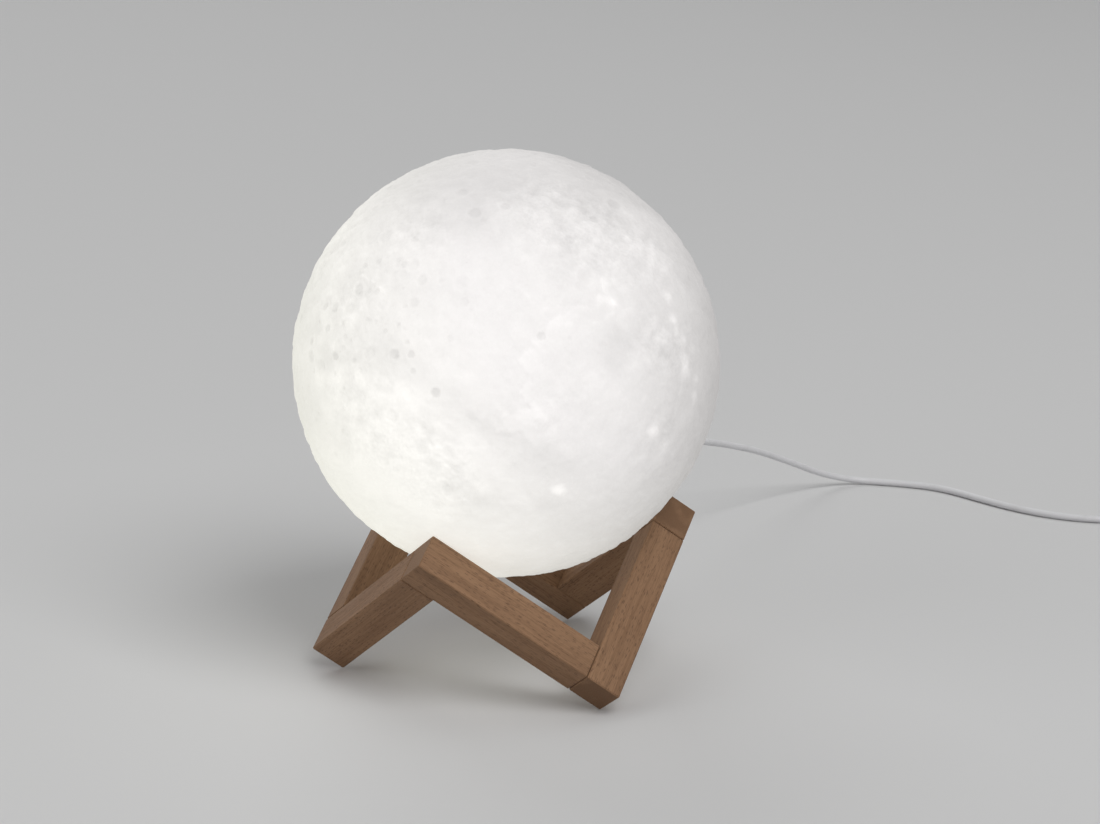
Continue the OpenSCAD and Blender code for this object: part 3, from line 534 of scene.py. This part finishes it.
def relief(unit):
    """Height in metres, glow with painted shade and light in it, a painted cooler tint, and roughness of
    the shell at unit directions from its centre.
    """
    # How rough each place is, and noise from wide to fine
    rough = np.full(len(unit), 0.12)
    for az, el, spread, strength in ROUGH:
        rough += strength * np.exp(-((angle_to(unit, az, el) / spread) ** 2))
    rough = np.clip(rough, 0, 1)
    wide, mid, fine = fractal(unit, 7.0, 3), fractal(unit, 24.0, 4), fractal(unit, 62.0, 5, 3)
    crests = 1 - np.abs(fractal(unit, 17.0, 6, 3)) * 1.6
    # Height in mm and glow of the surface between its craters
    uneven = 0.32 + 0.3 * ease((angle_to(unit, *FRONT) - 50) / 30) + 0.4 * rough
    height = 0.14 * fractal(unit, 6.0, 1) + 0.13 * mid + uneven * (0.33 * fine + 0.17 * crests)
    streaks = fractal(unit * np.array([0.5, 0.5, 1.7]), 75.0, 7, 2)
    flecks = fractal(unit, 105.0, 8, 2)
    low = np.exp(-((angle_to(unit, -124, -14) / 21) ** 2))
    glow = 1.0 + 0.013 * wide + (0.004 + 0.026 * rough) * mid + (0.002 + 0.038 * rough) * fine
    glow += 0.028 * rough * np.clip(crests, -1, 1)
    glow += low * (0.05 * np.clip(-streaks - 0.2, 0, 1) - 0.03 * np.clip(streaks - 0.3, 0, 1))
    glow += 0.035 * (0.2 + 0.8 * rough) * np.clip(flecks - 0.35, 0, 1)
    # Craters: a bowl with a rim in the height, a dark floor and a pale rim in the glow
    large = [(np.array(direction(az, el)), r, d, k) for az, el, r, d, k in CRATERS + back_craters()]
    for at, radius, depth, dark in large + small_craters():
        reach = radius * MM / GLOBE_R
        near = np.flatnonzero(unit @ at > math.cos(2.4 * reach))
        t = np.linalg.norm(unit[near] - at, axis=1) / reach * (1 + 0.10 * mid[near])
        bowl = -np.clip(1 - t**2, 0, 1) ** 0.7
        rim = np.exp(-(((t - 1.1) / 0.22) ** 2))
        size = depth * min(1.0, 0.35 + radius / 4)
        height[near] += size * (0.34 * bowl + 0.15 * rim)
        floor = np.clip((1.0 - t) / 0.22, 0, 1)
        glow[near] -= 0.105 * dark * floor**1.5
        glow[near] += 0.022 * size * rim
    # Seas and bands are low and dark, ridges and spots high and bright
    for az, el, spread, dark in SEAS:
        share = np.exp(-(((angle_to(unit, az, el) + 0.9 * mid + 1.2 * wide) / spread) ** 2))
        glow -= dark * share
        height -= 1.2 * dark * share
    for points, width, dark in BANDS:
        share = np.exp(-((beside(unit, points, 0.9 * wide + 0.4 * mid) / width) ** 2))
        glow -= dark * share
        height -= 1.2 * dark * share
    for points, width, bright in RIDGES:
        share = ridge_share(unit, points, width, 0.5 * mid + fine) * np.clip(0.8 + 0.4 * fine, 0.3, 1.1)
        glow += bright * share
        height += 2.0 * bright * share
    for az, el, spread, bright in LIGHTS:
        angle = angle_to(unit, az, el) * np.clip(1 + 0.35 * fine + 0.2 * mid, 0.55, 1.6)
        share = np.clip(1.35 * np.exp(-((angle / spread) ** 2)), 0, 1)
        glow += bright * share
        height += 2.0 * bright * share
    # The module's light scales the glow, with painted shade on the limb and top and painted light on the
    # underside.
    glow *= inner_light_and_painted_shade(unit)
    # Painted shade: a cooler, greyer tint on the shell's dim side.
    painted_cool_shade = np.clip(0.5 + 0.8 * (unit @ np.array(PAINTED_COOL_SIDE)), 0, 1)
    plain, fade = MODULE_FADE
    height *= ease((angle_to(unit, *module_angles()) - plain) / fade)
    plain, fade = SEAT_FADE
    for az, el in SEATS:
        height *= np.clip((angle_to(unit, az, el) - plain) / fade, 0, 1)
    height = np.clip(height, -RELIEF_LOW, RELIEF_HIGH)
    return height * MM, np.clip(glow, 0.3, 1.2), painted_cool_shade, rough


def module_angles():
    """Azimuth and height angle of the module's axis."""
    return math.degrees(math.atan2(MODULE_DIR.y, MODULE_DIR.x)), math.degrees(math.asin(MODULE_DIR.z))


def cut_ball(radius, level, hole):
    """A ball of triangles with a plane cut that leaves a round hole on the module's axis."""
    mesh = bmesh.new()
    bmesh.ops.create_icosphere(mesh, subdivisions=level, radius=radius)
    height = math.sqrt(radius**2 - hole**2)
    bmesh.ops.bisect_plane(
        mesh,
        geom=mesh.verts[:] + mesh.edges[:] + mesh.faces[:],
        dist=1e-6,
        plane_co=MODULE_DIR * height,
        plane_no=MODULE_DIR,
        clear_outer=True,
    )
    return mesh


def round_off(mesh, radius):
    """Moves the open edge's vertices on to the circle of that radius round the module's axis."""
    rim = [e for e in mesh.edges if e.is_boundary]
    for v in {v for e in rim for v in e.verts}:
        up = MODULE_DIR * v.co.dot(MODULE_DIR)
        v.co = up + (v.co - up).normalized() * radius
    return rim


def collar(mesh, rim, steps):
    """Extrudes an open edge through (height, radius) steps along the module's axis."""
    for height, radius in steps:
        made = bmesh.ops.extrude_edge_only(mesh, edges=rim)["geom"]
        rim = [e for e in made if isinstance(e, bmesh.types.BMEdge)]
        for v in {v for e in rim for v in e.verts}:
            across = v.co - MODULE_DIR * v.co.dot(MODULE_DIR)
            v.co = MODULE_DIR * height + across.normalized() * radius
    return rim


def make_globe():
    """The whole shell: a cratered outside, the neck hole with its recess, and a plain inside."""
    mesh = cut_ball(GLOBE_R, OUTSIDE_LEVEL, LIP_R)
    rim = round_off(mesh, LIP_R)
    outside = np.array([v.co[:] for v in mesh.verts])
    unit = outside / np.linalg.norm(outside, axis=1)[:, None]
    height, *carried = relief(unit)
    outside += unit * height[:, None]
    for v, at in zip(mesh.verts, outside.tolist()):
        v.co = at
    for name, values in zip(GLOBE_LAYERS, carried):
        layer = mesh.verts.layers.float.new(name)
        for v, value in zip(mesh.verts, values.tolist()):
            v[layer] = value

    inner = cut_ball(GLOBE_R - SHELL_WALL, INSIDE_LEVEL, NECK_R)
    round_off(inner, NECK_R)
    bmesh.ops.reverse_faces(inner, faces=inner.faces[:])
    inner_height = math.sqrt((GLOBE_R - SHELL_WALL) ** 2 - NECK_R**2)
    rim = collar(mesh, rim, [(LIP_FLOOR, LIP_R), (LIP_FLOOR, NECK_R)])
    kept = bpy.data.meshes.new("inside")
    inner.to_mesh(kept)
    inner.free()
    mesh.from_mesh(kept)
    bpy.data.meshes.remove(kept)
    low_rim = [
        e for e in mesh.edges
        if e.is_boundary
        and e not in rim
        and abs(e.verts[0].co.dot(MODULE_DIR) - inner_height) < 0.01 * MM
    ]
    bmesh.ops.bridge_loops(mesh, edges=rim + low_rim)
    bmesh.ops.recalc_face_normals(mesh, faces=mesh.faces[:])
    for face in mesh.faces:
        face.smooth = True
    data = bpy.data.meshes.new("globe")
    mesh.to_mesh(data)
    mesh.free()
    data.transform(Matrix.Translation(GLOBE_C))
    globe = bpy.data.objects.new("moon_globe", data)
    bpy.context.scene.collection.objects.link(globe)
    return globe


# ---- The lead ---------------------------------------------------------------
CORD_D = 2.8 * MM
RELIEF_END = 104.1 * MM      # end of the strain relief, from the globe's centre
# Points of the centreline in mm, from the straight start to the coil. The other lengths of the
# coil are in mm too.
LEAD_ROUTE = [
    (54.6, 94.6, 63.4), (65, 111.5, 57.2), (77.5, 128.5, 50.5), (91, 146.5, 43.8),
    (104.7, 164.3, 37.6), (113.6, 176.5, 33), (122.2, 186.8, 28.7), (131, 196.6, 23.9),
    (139.8, 206, 18.8), (148.7, 214.9, 13.6), (157.3, 222.4, 8.8), (165.8, 228.1, 5.1),
    (173.6, 231.2, 2.8), (181, 231.8, 1.7), (188, 230, 1.5), (194.5, 227.7, 1.5),
    (201, 225, 1.5), (207.5, 221.5, 1.5), (213.5, 216.6, 1.5), (219.2, 209.8, 1.5),
    (226, 200, 1.5), (235, 188, 1.5), (246, 177, 1.5), (259, 169, 1.5),
    (273, 165, 1.5), (287, 165, 1.7), (298, 165, 2.4), (303, 165, 2.4), (308, 165, 2.4),
]
COIL_TURNS = 3               # on each of the coil's two layers
COIL_IN_R = 10.2
TURN_PITCH = 3.4
BLEND = 30                   # degrees over which the winding turns back outwards
USB_Z = 4.1                  # height of the USB plug's middle
OUT_RUN = 17                 # from the coil to the USB plug
OUT_FLAT = 3                 # last part of that run, in line with the plug
LEAD_STEP = 0.3              # least distance between two points of the tube
BORE_R = 1.6 * MM            # the plug's hole for the lead
BORE_DEPTH = 13 * MM


def smooth_route(points, steps):
    """A Catmull-Rom curve through points, with steps between two of them."""
    made = []
    last = len(points) - 1
    for i in range(last):
        a, b, c, d = (points[min(max(k, 0), last)] for k in (i - 1, i, i + 1, i + 2))
        for k in range(steps):
            t = k / steps
            bend, twist = 2 * a - 5 * b + 4 * c - d, 3 * b - a - 3 * c + d
            made.append(0.5 * (2 * b + (c - a) * t + bend * t * t + twist * t**3))
    return made + [points[last]]


def coil_route():
    """The coil's centreline: in on the lower layer, out on the upper one, then out to the USB plug."""
    middle = 360 * COIL_TURNS
    centre = Vector(LEAD_ROUTE[-1]) + Vector((CORD_D / MM, COIL_IN_R + COIL_TURNS * TURN_PITCH, 0))

    def radius(a):
        return COIL_IN_R + TURN_PITCH * math.sqrt((a - middle) ** 2 + BLEND**2) / 360

    shift = radius(0) - COIL_IN_R - COIL_TURNS * TURN_PITCH

    def wind(a):
        """Point at a turning angle; the second layer starts over half a turn in the middle."""
        turn = math.radians(a)
        up = TURN_PITCH * ease((a - middle + 90) / 180)
        return centre + Vector((radius(a) * math.sin(turn), shift - radius(a) * math.cos(turn), up))

    end = 2 * middle + 90
    last = wind(end)
    points = [wind(a) for a in range(0, end + 1, 10)]
    for s in (2, 5, 8, 11, OUT_RUN - OUT_FLAT, OUT_RUN):
        up = (USB_Z - last.z) * ease((s - 4) / (OUT_RUN - OUT_FLAT - 4))
        points.append(last + Vector((0, s, up)))
    return points


def final_mesh(item):
    """A mesh of an object as its modifiers or its bevel leave it."""
    return bpy.data.meshes.new_from_object(item.evaluated_get(bpy.context.evaluated_depsgraph_get()))


def make_lead(exit_at):
    """One round tube from the strain relief, through the air and along the table, to the USB plug."""
    route = [exit_at / MM, (exit_at + 2 * CORD_D * MODULE_DIR) / MM] + [Vector(p) for p in LEAD_ROUTE]
    points = smooth_route(route, 4)[:-1] + smooth_route(coil_route(), 1)
    line = [points[0]]
    for p in points[1:]:
        if (p - line[-1]).length > LEAD_STEP:
            line.append(p)
    data = bpy.data.curves.new("lead", "CURVE")
    data.dimensions = "3D"
    data.bevel_depth = CORD_D / 2
    data.bevel_resolution = 4
    data.use_fill_caps = True
    spline = data.splines.new("POLY")
    spline.points.add(len(line) - 1)
    for point, at in zip(spline.points, line):
        point.co = (*(at * MM), 1)
    spline.use_smooth = True
    curve = bpy.data.objects.new("lead_curve", data)
    bpy.context.scene.collection.objects.link(curve)
    lead = bpy.data.objects.new("power_lead", final_mesh(curve))
    bpy.data.objects.remove(curve)
    bpy.context.scene.collection.objects.link(lead)
    return lead, [at * MM for at in line]


def stand_in(node, name, body):
    """A piece in a node's shape and finish that stands for it and rides on a body of its own."""
    item = nodes[node]
    piece = bpy.data.objects.new(name, item.data.copy())
    piece.matrix_world = item.matrix_world
    bpy.context.scene.collection.objects.link(piece)
    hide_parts(node)
    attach(piece, body)
    return piece


def bore(pieces, mouth):
    """The hole in the plug's grip and strain relief that the lead lies in."""
    mesh = bmesh.new()
    rod = {"radius1": BORE_R, "radius2": BORE_R, "depth": BORE_DEPTH + MM}
    bmesh.ops.create_cone(mesh, cap_ends=True, segments=32, **rod)
    turn = MODULE_DIR.to_track_quat("Z", "Y").to_matrix().to_4x4()
    mesh.transform(Matrix.Translation(mouth + MODULE_DIR * (MM - BORE_DEPTH) / 2) @ turn)
    data = bpy.data.meshes.new("bore")
    mesh.to_mesh(data)
    mesh.free()
    cutter = bpy.data.objects.new("bore", data)
    bpy.context.scene.collection.objects.link(cutter)
    for piece in pieces:
        cut = piece.modifiers.new("bore", "BOOLEAN")
        cut.operation = "DIFFERENCE"
        cut.object = cutter
        cut.solver = "EXACT"
        bored = final_mesh(piece)
        piece.modifiers.clear()
        piece.data = bored
    bpy.data.objects.remove(cutter)


# ---- Light, floor and world -------------------------------------------------
LIT_POINT = Vector((0, 0, 0.08))   # the point that the lamps face
FLOOR_TONE = 0.66
FLOOR_HALF = 6
FLOOR_AT = (0, 3.5, -0.2 * MM)
WORLD_LEVEL = 0.31


def area_light(name, at, size, power):
    """A lamp of that size in metres and power in watts, at a point, facing the object."""
    data = bpy.data.lights.new(name, "AREA")
    data.shape = "RECTANGLE"
    data.size, data.size_y = size
    data.energy = power
    lamp = bpy.data.objects.new(name, data)
    aim = LIT_POINT - Vector(at)
    lamp.matrix_world = Matrix.Translation(at) @ aim.to_track_quat("-Z", "Y").to_matrix().to_4x4()
    bpy.context.scene.collection.objects.link(lamp)


def make_floor():
    """A wide plain table top, pale, that keeps the lamp's shadow."""
    mesh = bmesh.new()
    bmesh.ops.create_grid(mesh, x_segments=1, y_segments=1, size=FLOOR_HALF)
    data = bpy.data.meshes.new("floor")
    mesh.to_mesh(data)
    mesh.free()
    floor = bpy.data.objects.new("floor", data)
    floor.location = FLOOR_AT
    bpy.context.scene.collection.objects.link(floor)
    g = Graph("floor")
    g.set(Base_Color=colour(*[FLOOR_TONE] * 3), Roughness=0.75, Specular_IOR_Level=0.25)
    data.materials.append(g.material)


def make_world():
    """Soft light from all round; seen directly, or in gloss and glass, it is plain white."""
    world = bpy.data.worlds.new("world")
    bpy.context.scene.world = world
    world.use_nodes = True
    tree = world.node_tree
    tree.nodes.clear()
    out = tree.nodes.new("ShaderNodeOutputWorld")
    back = tree.nodes.new("ShaderNodeBackground")
    path = tree.nodes.new("ShaderNodeLightPath")
    level = tree.nodes.new("ShaderNodeMapRange")
    level.inputs["To Min"].default_value = WORLD_LEVEL
    level.inputs["To Max"].default_value = 1.0
    seen = path.outputs["Is Camera Ray"]
    for kind in ("Is Glossy Ray", "Is Transmission Ray"):
        either = tree.nodes.new("ShaderNodeMath")
        either.operation = "MAXIMUM"
        tree.links.new(seen, either.inputs[0])
        tree.links.new(path.outputs[kind], either.inputs[1])
        seen = either.outputs[0]
    tree.links.new(seen, level.inputs["Value"])
    tree.links.new(level.outputs[0], back.inputs["Strength"])
    tree.links.new(back.outputs[0], out.inputs["Surface"])


# ---- The CAD nodes' materials -----------------------------------------------
BEVEL = 0.12 * MM


def cube_axis(azimuth):
    """One of the axes of the cube that the bars lie on."""
    a = math.radians(azimuth)
    return Vector((math.sqrt(2 / 3) * math.cos(a), math.sqrt(2 / 3) * math.sin(a), 1 / math.sqrt(3)))


def bar_materials():
    """A material for each bar, with its grain along the bar."""
    made = {}
    pairs = ("front", "right"), ("back_right", "back"), ("back_left", "left")
    for k, (first, second) in enumerate(pairs):
        along, side = cube_axis(180 + 120 * k), cube_axis(-60 + 120 * k)
        made[first + "_bar"] = beech("beech_" + first, along, side, 17.0 + 9 * k)
        along, side = -cube_axis(60 + 120 * k), -cube_axis(180 + 120 * k)
        made[second + "_bar"] = beech("beech_" + second, along, side, 41.0 + 7 * k)
    return made


def dress(node, material, bevel=0.0):
    """Gives a CAD node its material, and rounds its sharp edges a little."""
    item = nodes[node]
    for place in item.material_slots:
        place.material = material
    if bevel:
        round_edges = item.modifiers.new("eased", "BEVEL")
        round_edges.width = bevel
        round_edges.segments = 2
        round_edges.limit_method = "ANGLE"
        round_edges.angle_limit = math.radians(35)
        round_edges.harden_normals = False


def dress_nodes():
    """Materials of all the CAD nodes, also of those that pieces below stand for."""
    for node, material in bar_materials().items():
        dress(node, material, BEVEL)
    white = plastic("white_plastic", (0.74, 0.735, 0.72), 0.38)
    steel = metal("bright_steel", (0.62, 0.62, 0.61), 0.28)
    finishes = {
        "corner_dowels": beech("beech_dowel", cube_axis(180), cube_axis(-60), 3.0),
        "neck_ring": white,
        "module_housing": white,
        "inner_cap": white,
        "plug_grip": white,
        "plug_strain_relief": white,
        "usb_grip": white,
        "touch_ring": metal("touch_metal", (0.70, 0.70, 0.69), 0.22, MODULE_DIR),
        "touch_contact": metal("contact_brass", (0.75, 0.55, 0.28), 0.3),
        "power_socket": plastic("black_plastic", (0.03, 0.03, 0.032), 0.45),
        "indicator_lens": plastic("light_pipe", (0.62, 0.72, 0.80), 0.12, 0.005),
        "control_board": circuit("circuit_board"),
        "battery_cell": metal("cell_foil", (0.55, 0.56, 0.58), 0.42),
        "battery_pad": plastic("foam", (0.05, 0.05, 0.052), 0.9, 0.2, 1500.0),
        "cap_screws": metal("screw_steel", (0.45, 0.45, 0.46), 0.3),
        "led_board": plastic("board_white", (0.70, 0.71, 0.69), 0.3, 0.005),
        "led_chips": glowing("led_phosphor", (1.0, 0.82, 0.45), 1.2),
        "light_diffuser": plastic("frosted_plastic", (0.76, 0.765, 0.76), 0.55, 0.03, 1800.0),
        "module_wires": plastic("wire_sheath", (0.45, 0.03, 0.025), 0.4),
        "plug_barrel": steel,
        "usb_shell": steel,
        "usb_insert": plastic("insert_white", (0.68, 0.68, 0.66), 0.4),
        "cord_tie": woven("tie_black", (0.02, 0.02, 0.022)),
    }
    for node, material in finishes.items():
        dress(node, material)


# ---- Everything together ----------------------------------------------------
make_camera()
bpy.context.scene.view_settings.view_transform = "Standard"

dress_nodes()

exit_at = GLOBE_C + MODULE_DIR * RELIEF_END
lead, lead_path = make_lead(exit_at)
lead.data.materials.clear()
lead.data.materials.append(jacket("cord_jacket"))
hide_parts("cord_lead", "cord_coil")
# The plug slides over the lead's straight start. The lead bends between there and the table.
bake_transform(lead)
near_end = [
    stand_in("plug_grip", "power_plug_grip", "plug"),
    stand_in("plug_strain_relief", "power_plug_relief", "plug"),
]
bore(near_end, exit_at)
far_end = [
    stand_in("cord_tie", "coil_tie", "stand"),
    stand_in("usb_grip", "usb_plug_grip", "stand"),
    stand_in("usb_shell", "usb_plug_shell", "stand"),
    stand_in("usb_insert", "usb_plug_insert", "stand"),
]

globe = make_globe()
globe.data.materials.append(printed("printed_shell"))
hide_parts("globe_shell")
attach(globe, "globe")

area_light("key", (1.12, -2.12, 3.0), (2.2, 2.2), 75)
area_light("fill", (-2.75, -1.5, 1.75), (2.5, 2.5), 15)
area_light("back", (-0.75, 2.75, 2.75), (2.5, 2.0), 25)
make_floor()
make_world()
